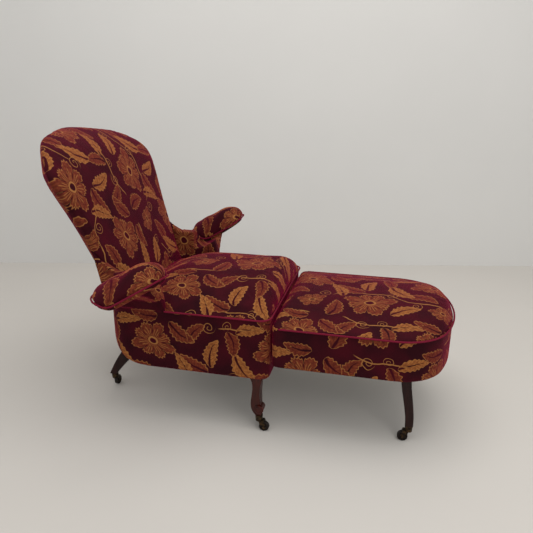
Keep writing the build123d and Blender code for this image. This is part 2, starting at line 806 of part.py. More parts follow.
def castor_fork():
    plate_low = fork_top - fork_metal
    inner_y = wheel_hub_width / 2 + fork_side_gap
    outer_y = inner_y + fork_metal
    collar = shank_radius + socket_wall
    eye = wheel_hub_radius
    plate = Pos(0, 0, (plate_low + fork_top) / 2) * Cylinder(collar, fork_metal)
    plate += block(0, castor_trail, -outer_y, outer_y, plate_low, fork_top)
    eye_edges = (Pos(castor_trail, wheel_radius) * Circle(eye)).edges()
    plate_middle = Pos(castor_trail / 2, fork_top - fork_metal / 2)
    plate_edges = (plate_middle * Rectangle(castor_trail, fork_metal)).edges()
    cheeks = extrude(Plane.XZ * make_hull(eye_edges + plate_edges), outer_y, both=True)
    cheeks -= block(-castor_trail, 2 * castor_trail, -inner_y, inner_y, 0, plate_low)
    axle = Pos(castor_trail, 0, wheel_radius) * Rot(X=90) * Cylinder(axle_radius, 2 * outer_y + axle_head)
    pin_low = plate_low
    pin_high = leg_end_height + seat_gap
    pintle = Pos(0, 0, (pin_low + pin_high) / 2) * Cylinder(pintle_radius, pin_high - pin_low)
    head_middle = pin_high + pintle_head_height / 2
    head = Pos(0, 0, head_middle) * Cylinder(pintle_head_radius, pintle_head_height)
    return plate + cheeks + axle + pintle + head


def castor_wheel():
    half_hub = wheel_hub_width / 2
    half_rim = wheel_width / 2
    bore = axle_radius + running_clearance
    rim_low = wheel_radius - wheel_rim_depth
    bevel = wheel_bevel
    side = [
        (bore, half_hub),
        (wheel_hub_radius, half_hub),
        (wheel_hub_radius, half_rim - wheel_groove_depth),
        (rim_low, half_rim - wheel_groove_depth),
        (rim_low, half_rim),
        (wheel_radius - bevel, half_rim),
        (wheel_radius, half_rim - bevel),
    ]
    outline = side + [(radius, -across) for radius, across in reversed(side)]
    profile = make_face(Polyline(*outline, close=True))
    wheel = revolve(Plane.XY * profile, Axis.Y)
    return Pos(castor_trail, 0, wheel_radius) * wheel


def build_chair():
    right_front_leg = both_sides(front_leg, "front_leg")
    right_rear_leg = both_sides(rear_leg, "rear_leg")
    legs = mirrored_pair(right_front_leg + right_rear_leg)
    ring = chair_rail_ring()
    save(front_rail(ring), "front_rail")
    both_sides(lambda: side_rail(ring), "side_rail")
    save(back_rail(ring) - legs, "back_rail")
    save(seat_webbing() - legs, "seat_webbing")
    flat_x = seat_front_x - body_depth + rear_sweep_radius
    cloth_low = underside_height - dust_cover_thickness
    sheet = chair_column(cover_thickness, cloth_low, underside_height)
    flat = block(flat_x, seat_front_x, -half_width, half_width, cloth_low, underside_height)
    notch_x = seat_front_x - front_block_rear - seat_gap
    notch_y = -(half_width - front_leg_margin - leg_block - seat_gap)
    notch = block(notch_x, seat_front_x, -half_width, notch_y, 0, rail_top_height)
    save((sheet & flat) - mirrored_pair(notch), "chair_dust_cover")

    border = chair_border(legs)
    side_front = front_corner_radius
    side_rear = rear_seam_setback
    save(cut_span(border, side_front, -overrun, -half_width, half_width), "front_border")
    save(cut_span(border, body_depth, side_rear, -half_width, half_width), "rear_border")
    both_sides(lambda: cut_span(border, side_rear, side_front, -half_width, 0), "side_border")

    form = back_form(0, back_tail, 0) & above_seat()
    frame = back_frame(form)
    rear_depth = back_thickness - cover_thickness
    behind = rear_half(rear_depth)
    save(frame, "back_frame")
    save(form & behind, "outside_back")
    save(form - behind - frame, "back_pad")

    right_arm_frame = both_sides(arm_frame, "arm_frame")
    right_arm_pad = both_sides(arm_pad, "arm_pad")
    cover = arm_cover(right_arm_frame, form, right_arm_pad)
    right_arm_cover = both_sides(lambda: cover, "arm_cover")
    both_sides(arm_piping, "arm_piping")
    neighbours = (form, frame, mirrored_pair(right_arm_cover), mirrored_pair(right_arm_frame))
    save(seat_pad(neighbours), "seat_pad")
    save(seat_piping(), "seat_piping")
    both_sides(hook_keeper, "hook_keeper")


def build_stool():
    right_leg = both_sides(stool_leg, "stool_leg")
    legs = mirrored_pair(right_leg)
    ring = stool_rail_ring()
    near_end = cover_thickness + stool_rail_thickness
    far_start = stool_length - stool_end_radius
    side_y = stool_width / 2
    inner_y = side_y - near_end
    save(stool_span(ring, 0, near_end, -inner_y, inner_y), "stool_near_rail")
    ends = stool_span(ring, 0, near_end, -inner_y, inner_y)
    side = stool_span(ring, 0, far_start, -side_y, 0) - ends
    save(side, "stool_side_rail_right")
    save(mirror(side, about=Plane.XZ), "stool_side_rail_left")
    save(stool_span(ring, far_start, stool_length, -side_y, side_y), "stool_end_rail")
    save(stool_border(), "stool_border")
    save(stool_pad(), "stool_pad")
    save(stool_piping(), "stool_piping")
    both_sides(stool_hook, "stool_hook")
    cloth_low = stool_underside_height - dust_cover_thickness
    sheet = stool_column(cover_thickness, cloth_low, stool_underside_height)
    save(sheet - legs, "stool_dust_cover")


def build_castor(name, foot_x, foot_y, heading):
    place = Pos(foot_x, foot_y, 0) * Rot(Z=heading)
    save(place * castor_socket(), "castor_socket_" + name)
    save(place * castor_fork(), "castor_fork_" + name)
    save(place * castor_wheel(), "castor_wheel_" + name)


# Castor places: each foot, with the way its wheel trails at rest
front_foot_x = seat_front_x - front_leg_setback + front_leg_toe_reach
front_foot_y = half_width - front_leg_margin - leg_block / 2 + front_leg_splay
rear_foot_x = seat_front_x - rear_foot_setback
rear_foot_y = rear_leg_spread / 2
stool_foot_x = seat_front_x + stool_reach - stool_leg_end_inset + stool_leg_rake
stool_foot_y = stool_width / 2 - stool_leg_side_inset + stool_leg_splay

build_chair()
build_stool()
for side, sign in (("left", 1), ("right", -1)):
    build_castor("front_" + side, front_foot_x, sign * front_foot_y, front_heading)
    build_castor("rear_" + side, rear_foot_x, sign * rear_foot_y, -sign * side_heading)
    build_castor("stool_" + side, stool_foot_x, sign * stool_foot_y, back_heading)
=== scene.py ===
import json
import math
import bmesh
import bpy
import numpy as np
from mathutils import Matrix, Vector, kdtree


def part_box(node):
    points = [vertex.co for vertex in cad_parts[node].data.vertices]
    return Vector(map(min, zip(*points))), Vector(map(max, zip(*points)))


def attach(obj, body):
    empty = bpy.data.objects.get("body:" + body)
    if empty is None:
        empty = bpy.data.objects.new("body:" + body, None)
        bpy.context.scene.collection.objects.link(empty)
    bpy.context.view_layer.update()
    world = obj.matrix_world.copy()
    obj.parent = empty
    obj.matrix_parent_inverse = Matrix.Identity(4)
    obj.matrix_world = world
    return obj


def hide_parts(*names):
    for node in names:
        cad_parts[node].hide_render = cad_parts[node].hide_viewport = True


# Low armchair with a footstool hooked on in front, covered in a dark floral cloth
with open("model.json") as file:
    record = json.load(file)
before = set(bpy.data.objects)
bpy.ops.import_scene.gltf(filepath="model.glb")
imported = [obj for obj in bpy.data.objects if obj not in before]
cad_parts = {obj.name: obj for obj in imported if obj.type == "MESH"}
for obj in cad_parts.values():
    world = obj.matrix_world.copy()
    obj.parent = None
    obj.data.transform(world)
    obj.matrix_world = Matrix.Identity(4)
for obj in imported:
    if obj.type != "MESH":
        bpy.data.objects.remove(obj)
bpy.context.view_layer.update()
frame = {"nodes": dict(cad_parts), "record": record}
nodes = frame["nodes"]
bodyOfNode = {node: body for body, held in frame["record"]["behaviour"]["bodies"].items() for node in held}
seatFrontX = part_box("front_border")[1].x
print("frame loaded:", len(nodes), "nodes")

# Camera, solved from the straight lines of the chair
camera = {"lens": 36.0, "fromSeatFront": (0.3184, -1.6764, 1.020), "pitch": 17.918, "yaw": 13.058, "roll": 0.4}


def addCamera():
    pitch, yaw, roll = (math.radians(camera[k]) for k in ("pitch", "yaw", "roll"))
    level = Vector((-math.sin(yaw), math.cos(yaw), 0))
    right = Vector((math.cos(yaw), math.sin(yaw), 0))
    up = Vector((0, 0, 1))
    ahead = level * math.cos(pitch) - up * math.sin(pitch)
    down = -(up * math.cos(pitch) + level * math.sin(pitch))
    turnedRight = right * math.cos(roll) - down * math.sin(roll)
    turnedDown = right * math.sin(roll) + down * math.cos(roll)
    axes = Matrix((turnedRight, -turnedDown, -ahead)).transposed()
    data = bpy.data.cameras.new("camera")
    data.lens = camera["lens"]
    data.sensor_width = 36.0
    data.sensor_fit = "HORIZONTAL"
    eye = bpy.data.objects.new("camera", data)
    eye.matrix_world = Matrix.Translation(Vector(camera["fromSeatFront"]) + Vector((seatFrontX, 0, 0))) @ axes.to_4x4()
    bpy.context.scene.collection.objects.link(eye)
    bpy.context.scene.camera = eye


# Node helpers


class Shade:
    # a small wrapper that adds and joins nodes in one tree
    def __init__(self, tree):
        self.tree = tree

    def add(self, kind, inputs=None, **settings):
        node = self.tree.nodes.new(kind)
        for name, value in settings.items():
            setattr(node, name, value)
        for name, value in (inputs or {}).items():
            self.feed(node.inputs[name], value)
        return node

    def feed(self, socket, value):
        if isinstance(value, bpy.types.NodeSocket):
            self.tree.links.new(value, socket)
        else:
            socket.default_value = value

    def maths(self, operation, *values, clamp=False):
        node = self.tree.nodes.new("ShaderNodeMath")
        node.operation = operation
        node.use_clamp = clamp
        for socket, value in zip(node.inputs, values):
            self.feed(socket, value)
        return node.outputs[0]

    def vector(self, operation, *values):
        node = self.tree.nodes.new("ShaderNodeVectorMath")
        node.operation = operation
        for socket, value in zip(node.inputs, values):
            self.feed(socket, value)
        return node.outputs["Value"] if operation == "LENGTH" else node.outputs["Vector"]

    def soft(self, value, width):
        # 0 below nought, 1 above the width, without the clamp tick that Cycles sorts to the end
        return self.maths("MINIMUM", self.maths("MAXIMUM", self.maths("DIVIDE", value, width), 0.0), 1.0)

    def band(self, value, centre, half):
        # 1 near the centre value
        away = self.maths("ABSOLUTE", self.maths("SUBTRACT", value, centre))
        return self.soft(self.maths("SUBTRACT", half, away), half * 0.5)

    def largest(self, values):
        total = values[0]
        for value in values[1:]:
            total = self.maths("MAXIMUM", total, value)
        return total

    def mix(self, factor, a, b, blend="MIX"):
        node = self.add("ShaderNodeMix", data_type="RGBA", blend_type=blend)
        self.feed(node.inputs["Factor"], factor)
        self.feed(node.inputs["A"], a)
        self.feed(node.inputs["B"], b)
        return node.outputs["Result"]

    def noise(self, vector, scale, detail=2.0, rough=0.5):
        node = self.add("ShaderNodeTexNoise", {"Scale": scale, "Detail": detail, "Roughness": rough})
        self.tree.links.new(vector, node.inputs["Vector"])
        return node


def colour(red, green, blue):
    # screen colour to linear
    def linear(c):
        return c / 12.92 if c <= 0.04045 else ((c + 0.055) / 1.055) ** 2.4
    return (linear(red), linear(green), linear(blue), 1.0)


def newGroup(name, outputs):
    tree = bpy.data.node_groups.new(name, "ShaderNodeTree")
    tree.interface.new_socket("Place", in_out="INPUT", socket_type="NodeSocketVector")
    for output in outputs:
        tree.interface.new_socket(output, in_out="OUTPUT", socket_type="NodeSocketFloat")
    start = tree.nodes.new("NodeGroupInput")
    end = tree.nodes.new("NodeGroupOutput")
    return tree, Shade(tree), start.outputs["Place"], end


def newMaterial(name, **sockets):
    material = bpy.data.materials.new(name)
    material.use_nodes = True
    shade = Shade(material.node_tree)
    surface = material.node_tree.nodes["Principled BSDF"]
    for socket, value in sockets.items():
        surface.inputs[socket.replace("_", " ")].default_value = value
    return material, shade, surface


# Floral cloth: motifs stamped in a repeat that wraps at its edges
cloth = {
    "repeat": (0.40, 0.35),
    "ground": colour(0.235, 0.020, 0.062),
    "groundDark": colour(0.140, 0.012, 0.035),
    "rust": colour(0.440, 0.200, 0.115),
    "rustDark": colour(0.320, 0.115, 0.075),
    "amber": colour(0.600, 0.375, 0.185),
    "amberDark": colour(0.450, 0.250, 0.125),
    "gold": colour(0.610, 0.410, 0.215),
    "sheenTint": colour(0.85, 0.10, 0.35),
    "ribPitch": 0.0016,
    # each motif: place in the repeat, turn, length and width (a minus width flips its bend)
    "flowers": [(0.085, 0.095, 20, 0.082, 0.070), (0.285, 0.262, 65, 0.064, 0.078), (0.305, 0.085, 35, 0.050, 0.033)],
    "amberLeaves": [
        (0.195, 0.060, 25, 0.050, 0.050), (0.185, 0.200, -50, 0.056, -0.060), (0.085, 0.240, 75, 0.050, 0.056),
        (0.378, 0.180, 115, 0.052, -0.048), (0.200, 0.322, 8, 0.046, 0.044),
    ],
    "rustLeaves": [
        (0.245, 0.150, -20, 0.050, 0.056), (0.372, 0.055, 80, 0.046, -0.060), (0.138, 0.275, -80, 0.044, 0.052),
        (0.020, 0.200, 150, 0.052, 0.062), (0.385, 0.300, -35, 0.050, -0.058), (0.262, 0.005, 170, 0.044, 0.050),
        (0.030, 0.300, 50, 0.042, 0.050),
    ],
    # each curl: place, turn and size
    "curls": [
        (0.150, 0.160, 0, 0.022), (0.345, 0.140, 120, 0.020), (0.070, 0.325, 200, 0.022),
        (0.130, 0.335, 80, 0.017), (0.225, 0.095, 300, 0.018),
    ],
    # each stem: height in the repeat, sway and phase
    "vines": [(0.140, 0.030, 0.4), (0.345, 0.022, 2.6)],
    "vineHalf": 0.0026,
    "wander": 0.012,  # how far the drawing strays from its repeat
    "lineShare": 0.9,  # how strongly the gold lines cover
    "wornTint": (0.02, 0.008, 0.01, 1),
}


def flowerGroup():
    # eight notched petals with rays and a ring
    tree, s, place, end = newGroup("flower", ("Fill", "Line"))
    parts = s.add("ShaderNodeSeparateXYZ", {"Vector": place})
    reach = s.vector("LENGTH", place)
    angle = s.maths("ARCTAN2", parts.outputs["Y"], parts.outputs["X"])
    lobe = s.maths("ABSOLUTE", s.maths("COSINE", s.maths("MULTIPLY", angle, 4.0)))
    rounded = s.maths("POWER", lobe, 0.42)
    scallop = s.maths("MULTIPLY", s.maths("COSINE", s.maths("MULTIPLY", angle, 40.0)), 0.035)
    uneven = s.maths("SINE", s.maths("MULTIPLY_ADD", angle, 3.0, 0.8))
    sway = s.maths("SINE", s.maths("MULTIPLY_ADD", angle, 5.0, 2.0))
    uneven = s.maths("MULTIPLY_ADD", uneven, 0.09, s.maths("MULTIPLY", sway, 0.07))
    edge = s.maths("ADD", s.maths("MULTIPLY_ADD", rounded, 0.36, 0.58), s.maths("ADD", scallop, uneven))
    inside = s.maths("SUBTRACT", edge, reach)
    fill = s.soft(inside, 0.04)
    gap = s.soft(s.maths("SUBTRACT", 0.20, lobe), 0.08)
    gap = s.maths("MULTIPLY", gap, s.soft(s.maths("SUBTRACT", reach, 0.34), 0.1))
    fill = s.maths("MULTIPLY", fill, s.maths("SUBTRACT", 1.0, gap))
    centre = s.soft(s.maths("SUBTRACT", reach, 0.13), 0.03)
    fill = s.maths("MULTIPLY", fill, centre)
    outline = s.maths("MULTIPLY", s.band(inside, 0.05, 0.032), 0.75)
    ray = s.soft(s.maths("SUBTRACT", s.maths("COSINE", s.maths("MULTIPLY", angle, 32.0)), 0.45), 0.4)
    rayEnd = s.maths("MULTIPLY_ADD", lobe, 0.42, 0.34)
    ray = s.maths("MULTIPLY", ray, s.soft(s.maths("SUBTRACT", rayEnd, reach), 0.1))
    ray = s.maths("MULTIPLY", ray, s.soft(s.maths("SUBTRACT", reach, 0.22), 0.05))
    ring = s.band(reach, 0.19, 0.045)
    s.feed(end.inputs["Fill"], fill)
    s.feed(end.inputs["Line"], s.largest([outline, s.maths("MULTIPLY", ray, 0.8), ring]))
    return tree


def leafGroup():
    # a bent leaf with a scalloped edge, a midrib and slanting veins
    tree, s, place, end = newGroup("leaf", ("Fill", "Line", "Depth"))
    parts = s.add("ShaderNodeSeparateXYZ", {"Vector": place})
    along = parts.outputs["X"]
    left = s.maths("SUBTRACT", 1.0, s.maths("MULTIPLY", along, along))
    across = s.maths("SUBTRACT", parts.outputs["Y"], s.maths("MULTIPLY", left, 0.20))
    side = s.maths("ABSOLUTE", across)
    body = s.maths("POWER", s.maths("MAXIMUM", left, 0.0), 0.62)
    skew = s.maths("MULTIPLY_ADD", along, -0.28, 1.0)
    scallop = s.maths("MULTIPLY_ADD", s.maths("COSINE", s.maths("MULTIPLY", along, 21.0)), 0.11, 1.0)
    width = s.maths("MULTIPLY", s.maths("MULTIPLY", s.maths("MULTIPLY", body, 0.42), skew), scallop)
    inside = s.maths("SUBTRACT", width, side)
    fill = s.soft(inside, 0.04)
    rib = s.soft(s.maths("SUBTRACT", s.maths("MULTIPLY_ADD", along, -0.045, 0.055), side), 0.03)
    rib = s.maths("MULTIPLY", rib, s.soft(s.maths("SUBTRACT", 0.72, along), 0.1))
    fill = s.maths("MULTIPLY", fill, s.maths("SUBTRACT", 1.0, rib))
    slant = s.maths("SUBTRACT", along, s.maths("MULTIPLY", side, 1.1))
    vein = s.soft(s.maths("SUBTRACT", s.maths("COSINE", s.maths("MULTIPLY", slant, 24.0)), 0.7), 0.25)
    vein = s.maths("MULTIPLY", vein, s.soft(s.maths("SUBTRACT", inside, 0.05), 0.05))
    outline = s.maths("MULTIPLY", s.band(inside, 0.045, 0.035), 0.7)
    s.feed(end.inputs["Fill"], fill)
    s.feed(end.inputs["Line"], outline)
    s.feed(end.inputs["Depth"], s.maths("SUBTRACT", 1.0, s.maths("MULTIPLY", vein, 0.9)))
    return tree


def curlGroup():
    tree, s, place, end = newGroup("curl", ("Line",))
    parts = s.add("ShaderNodeSeparateXYZ", {"Vector": place})
    reach = s.vector("LENGTH", place)
    angle = s.maths("DIVIDE", s.maths("ARCTAN2", parts.outputs["Y"], parts.outputs["X"]), 2 * math.pi)
    turn = s.maths("FRACT", s.maths("SUBTRACT", s.maths("MULTIPLY", reach, 1.9), angle))
    line = s.band(turn, 0.5, 0.12)
    line = s.maths("MULTIPLY", line, s.soft(s.maths("SUBTRACT", 1.0, reach), 0.08))
    line = s.maths("MULTIPLY", line, s.soft(s.maths("SUBTRACT", reach, 0.10), 0.04))
    s.feed(end.inputs["Line"], line)
    return tree


def stamp(s, group, place, x, y, turn, sizeX, sizeY=None):
    # a motif at its place in the repeat, turned and scaled
    width, height = cloth["repeat"]
    moved = s.vector("SUBTRACT", place, (x, y, 0))
    wrapped = s.vector("WRAP", moved, (width / 2, height / 2, 1), (-width / 2, -height / 2, -1))
    turned = s.add("ShaderNodeVectorRotate", {"Vector": wrapped, "Angle": -math.radians(turn)}, rotation_type="Z_AXIS")
    scaled = s.vector("DIVIDE", turned.outputs[0], (sizeX, sizeY or sizeX, 1))
    node = s.add("ShaderNodeGroup", node_tree=group)
    s.feed(node.inputs["Place"], scaled)
    return node.outputs


def floralMaterial():
    material, s, surface = newMaterial("floralCloth", Roughness=0.75, Sheen_Weight=0.36, Sheen_Roughness=0.38)
    surface.inputs["Sheen Tint"].default_value = cloth["sheenTint"]
    surface.inputs["Specular IOR Level"].default_value = 0.05
    flower, leaf, curl = flowerGroup(), leafGroup(), curlGroup()
    source = s.add("ShaderNodeAttribute", attribute_name="clothPlace").outputs["Vector"]
    wobble = s.noise(source, 30.0, 1.0).outputs["Color"]
    drift = s.vector("SCALE", s.vector("SUBTRACT", wobble, (0.5, 0.5, 0.5)))
    drift.node.inputs["Scale"].default_value = cloth["wander"]
    place = s.vector("ADD", source, drift)
    flat = s.vector("MULTIPLY", place, (1, 1, 0))
    # each motif is added to the totals at once, so few values are kept at a time
    total = {"rust": 0.0, "amber": 0.0, "line": 0.0, "rustDepth": 1.0, "amberDepth": 1.0}
    for group, spots, tint in (
        (flower, cloth["flowers"], "rust"),
        (leaf, cloth["rustLeaves"], "rust"),
        (leaf, cloth["amberLeaves"], "amber"),
    ):
        for spot in spots:
            motif = stamp(s, group, flat, *spot)
            total[tint] = s.maths("MAXIMUM", motif["Fill"], total[tint])
            total["line"] = s.maths("MAXIMUM", motif["Line"], total["line"])
            if group is leaf:
                total[tint + "Depth"] = s.maths("MINIMUM", motif["Depth"], total[tint + "Depth"])
    for spot in cloth["curls"]:
        total["line"] = s.maths("MAXIMUM", stamp(s, curl, flat, *spot)["Line"], total["line"])
    rust, amber = total["rust"], total["amber"]
    parts = s.add("ShaderNodeSeparateXYZ", {"Vector": flat})
    width, height = cloth["repeat"]
    vines = []
    for start, sway, phase in cloth["vines"]:
        turn = s.maths("MULTIPLY_ADD", parts.outputs["X"], 2 * math.pi / width, phase)
        wave = s.maths("MULTIPLY_ADD", s.maths("SINE", turn), sway, start)
        ripple = s.maths("MULTIPLY_ADD", s.maths("SINE", s.maths("MULTIPLY", turn, 3.0)), sway / 4, wave)
        away = s.maths("SUBTRACT", parts.outputs["Y"], ripple)
        vines.append(s.band(s.maths("WRAP", away, height / 2, -height / 2), 0.0, cloth["vineHalf"]))
    vine = s.largest(vines)
    cover = s.maths("MAXIMUM", rust, amber)
    # stems show only in places
    stems = s.soft(s.maths("SUBTRACT", s.noise(source, 6.5, 1.0).outputs["Fac"], 0.47), 0.03)
    vine = s.maths("MULTIPLY", s.maths("MULTIPLY", vine, stems), s.maths("SUBTRACT", 1.0, cover))
    line = s.maths("MAXIMUM", total["line"], vine)
    mottle = s.noise(source, 95.0, 3.0, 0.6).outputs["Fac"]
    broad = s.noise(source, 9.0, 2.0).outputs["Fac"]
    ground = s.mix(s.soft(s.maths("SUBTRACT", broad, 0.35), 0.3), cloth["groundDark"], cloth["ground"])
    # petals and leaves are mottled, and darker along their veins
    petalTone = s.maths("MULTIPLY", s.soft(s.maths("SUBTRACT", mottle, 0.36), 0.25), total["rustDepth"])
    petal = s.mix(petalTone, cloth["rustDark"], cloth["rust"])
    leafTone = s.maths("MULTIPLY", s.soft(s.maths("SUBTRACT", mottle, 0.36), 0.25), total["amberDepth"])
    leafColour = s.mix(leafTone, cloth["amberDark"], cloth["amber"])
    painted = s.mix(rust, ground, petal)
    painted = s.mix(amber, painted, leafColour)
    painted = s.mix(s.maths("MULTIPLY", line, cloth["lineShare"]), painted, cloth["gold"])
    # the weave's ribs darken and raise the surface a little
    upCloth = s.add("ShaderNodeSeparateXYZ", {"Vector": source}).outputs["Y"]
    ribs = s.maths("SINE", s.maths("MULTIPLY", upCloth, 2 * math.pi / cloth["ribPitch"]))
    threads = s.noise(source, 700.0, 2.0).outputs["Fac"]
    relief = s.maths("MULTIPLY_ADD", ribs, 0.25, threads)
    worn = s.mix(s.maths("MULTIPLY", threads, 0.30), painted, cloth["wornTint"])
    s.feed(surface.inputs["Base Color"], worn)
    raised = s.maths("MULTIPLY_ADD", s.maths("MAXIMUM", cover, line), 0.6, relief)
    bump = s.add("ShaderNodeBump", {"Strength": 0.35, "Distance": 0.0006, "Height": raised})
    s.feed(surface.inputs["Normal"], bump.outputs["Normal"])
    s.feed(surface.inputs["Roughness"], s.maths("MULTIPLY_ADD", threads, 0.25, 0.60))
    return material


# Piping: twisted thread under wine red cloth
piping = {
    "dark": colour(0.27, 0.02, 0.08), "light": colour(0.50, 0.08, 0.19),
    "twist": 260.0,  # turns of thread in a metre
    "voxel": 0.0014, "passes": 6,
}


def pipingMaterial():
    material, s, surface = newMaterial("pipingCloth", Roughness=0.7, Sheen_Weight=0.10, Sheen_Roughness=0.35)
    surface.inputs["Sheen Tint"].default_value = cloth["sheenTint"]
    surface.inputs["Specular IOR Level"].default_value = 0.1
    place = s.add("ShaderNodeTexCoord").outputs["Object"]
    parts = s.add("ShaderNodeSeparateXYZ", {"Vector": place})
    slant = s.maths("ADD", s.maths("ADD", parts.outputs["X"], parts.outputs["Y"]), parts.outputs["Z"])
    twist = s.maths("SINE", s.maths("MULTIPLY", slant, piping["twist"] * 2 * math.pi))
    thread = s.noise(place, 900.0, 2.0).outputs["Fac"]
    tone = s.maths("MULTIPLY_ADD", twist, 0.25, s.maths("MULTIPLY_ADD", thread, 0.5, 0.2), clamp=True)
    s.feed(surface.inputs["Base Color"], s.mix(tone, piping["dark"], piping["light"]))
    bump = s.add("ShaderNodeBump", {"Strength": 0.4, "Distance": 0.0005, "Height": tone})
    s.feed(surface.inputs["Normal"], bump.outputs["Normal"])
    return material


# Woods: grain runs down the legs
woods = {
    "carvedMahogany": {
        "dark": colour(0.085, 0.022, 0.016), "light": colour(0.29, 0.08, 0.042), "rough": 0.34, "coat": 0.22,
    },
    "darkLeg": {"dark": colour(0.050, 0.022, 0.020), "light": colour(0.165, 0.072, 0.060), "rough": 0.40, "coat": 0.05},
    "frameBeech": {"dark": colour(0.55, 0.40, 0.26), "light": colour(0.72, 0.56, 0.38), "rough": 0.65, "coat": 0.0},
    "wheelWood": {"dark": colour(0.045, 0.035, 0.030), "light": colour(0.14, 0.10, 0.075), "rough": 0.45, "coat": 0.05},
}


def woodMaterial(name):
    facts = woods[name]
    material, s, surface = newMaterial(name, Roughness=facts["rough"], Coat_Weight=facts["coat"], Coat_Roughness=0.25)
    surface.inputs["Specular IOR Level"].default_value = 0.15
    place = s.add("ShaderNodeTexCoord").outputs["Object"]
    long = s.vector("MULTIPLY", place, (1, 1, 0.12))
    grain = s.noise(long, 160.0, 5.0, 0.6).outputs["Fac"]
    band = s.noise(long, 38.0, 2.0).outputs["Fac"]
    wear = s.noise(place, 24.0, 3.0).outputs["Fac"]
    tone = s.maths("MULTIPLY_ADD", grain, 0.7, s.maths("MULTIPLY", band, 0.45), clamp=True)
    tone = s.soft(s.maths("SUBTRACT", tone, 0.35), 0.45)
    base = s.mix(tone, facts["dark"], facts["light"])
    scuffed = s.mix(s.maths("MULTIPLY", s.soft(s.maths("SUBTRACT", wear, 0.6), 0.2), 0.35), base, facts["light"])
    s.feed(surface.inputs["Base Color"], scuffed)
    s.feed(surface.inputs["Roughness"], s.maths("MULTIPLY_ADD", wear, 0.22, facts["rough"] - 0.08))
    bump = s.add("ShaderNodeBump", {"Strength": 0.25, "Distance": 0.0004, "Height": grain})
    s.feed(surface.inputs["Normal"], bump.outputs["Normal"])
    return material


# Metals: old brass and zinc plated strip
metals = {
    "castorBrass": {"bright": colour(0.33, 0.25, 0.155), "dull": colour(0.095, 0.072, 0.058), "rough": 0.40},
    "hookSteel": {"bright": colour(0.66, 0.65, 0.62), "dull": colour(0.36, 0.35, 0.33), "rough": 0.42},
}


def metalMaterial(name):
    facts = metals[name]
    material, s, surface = newMaterial(name, Roughness=facts["rough"], Metallic=0.85)
    place = s.add("ShaderNodeTexCoord").outputs["Object"]
    stain = s.noise(place, 120.0, 4.0, 0.65).outputs["Fac"]
    fine = s.noise(place, 900.0, 2.0).outputs["Fac"]
    worn = s.soft(s.maths("SUBTRACT", stain, 0.42), 0.22)
    s.feed(surface.inputs["Base Color"], s.mix(worn, facts["dull"], facts["bright"]))
    s.feed(surface.inputs["Roughness"], s.maths("MULTIPLY_ADD", worn, -0.18, facts["rough"] + 0.2))
    bump = s.add("ShaderNodeBump", {"Strength": 0.2, "Distance": 0.0003, "Height": s.maths("ADD", stain, fine)})
    s.feed(surface.inputs["Normal"], bump.outputs["Normal"])
    return material


# Plain woven cloths under the seat
underCloths = {
    "dustCloth": {"dark": colour(0.05, 0.05, 0.05), "light": colour(0.14, 0.135, 0.13), "pitch": 0.0014},
    "juteWebbing": {"dark": colour(0.42, 0.33, 0.21), "light": colour(0.66, 0.56, 0.40), "pitch": 0.0030},
}


def plainWeave(name):
    facts = underCloths[name]
    material, s, surface = newMaterial(name, Roughness=0.85, Sheen_Weight=0.1)
    place = s.add("ShaderNodeTexCoord").outputs["Object"]
    parts = s.add("ShaderNodeSeparateXYZ", {"Vector": place})
    rate = 2 * math.pi / facts["pitch"]
    warp = s.maths("SINE", s.maths("MULTIPLY", parts.outputs["X"], rate))
    weft = s.maths("SINE", s.maths("MULTIPLY", parts.outputs["Y"], rate))
    fuzz = s.noise(place, 400.0, 3.0).outputs["Fac"]
    tone = s.maths("MULTIPLY_ADD", s.maths("MULTIPLY", warp, weft), 0.3, fuzz, clamp=True)
    s.feed(surface.inputs["Base Color"], s.mix(tone, facts["dark"], facts["light"]))
    bump = s.add("ShaderNodeBump", {"Strength": 0.4, "Distance": 0.0005, "Height": tone})
    s.feed(surface.inputs["Normal"], bump.outputs["Normal"])
    return material


finishes = {
    "floral_cover": floralMaterial(),
    "piping": pipingMaterial(),
    "carved_leg": woodMaterial("carvedMahogany"),
    "dark_leg": woodMaterial("darkLeg"),
    "frame_wood": woodMaterial("frameBeech"),
    "castor_wheel": woodMaterial("wheelWood"),
    "castor_metal": metalMaterial("castorBrass"),
    "hook_steel": metalMaterial("hookSteel"),
    "dust_cloth": plainWeave("dustCloth"),
    "webbing": plainWeave("juteWebbing"),
}
print("finishes made")


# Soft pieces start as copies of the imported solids, remeshed and relaxed
seamBand = 0.006  # points this close to a seam are held by it


def cloneSolids(name, sources):
    mesh = bpy.data.meshes.new(name)
    shape = bmesh.new()
    for source in sources:
        shape.from_mesh(nodes[source].data)
    shape.to_mesh(mesh)
    shape.free()
    piece = bpy.data.objects.new(name, mesh)
    bpy.context.scene.collection.objects.link(piece)
    return piece


def bake(piece):
    # keeps what the modifiers give and drops them
    depsgraph = bpy.context.evaluated_depsgraph_get()
    finished = bpy.data.meshes.new_from_object(piece.evaluated_get(depsgraph))
    piece.modifiers.clear()
    piece.data = finished


def relax(piece, voxel, passes):
    remesh = piece.modifiers.new("remesh", "REMESH")
    remesh.mode = "VOXEL"
    remesh.voxel_size = voxel
    smooth = piece.modifiers.new("relax", "SMOOTH")
    smooth.factor = 0.5
    smooth.iterations = passes
    bake(piece)
    piece.data.shade_smooth()


def points(piece):
    spots = np.empty(len(piece.data.vertices) * 3, np.float32)
    piece.data.vertices.foreach_get("co", spots)
    return spots.reshape(-1, 3)


def movePoints(piece, spots):
    piece.data.vertices.foreach_set("co", spots.astype(np.float32).ravel())
    piece.data.update()


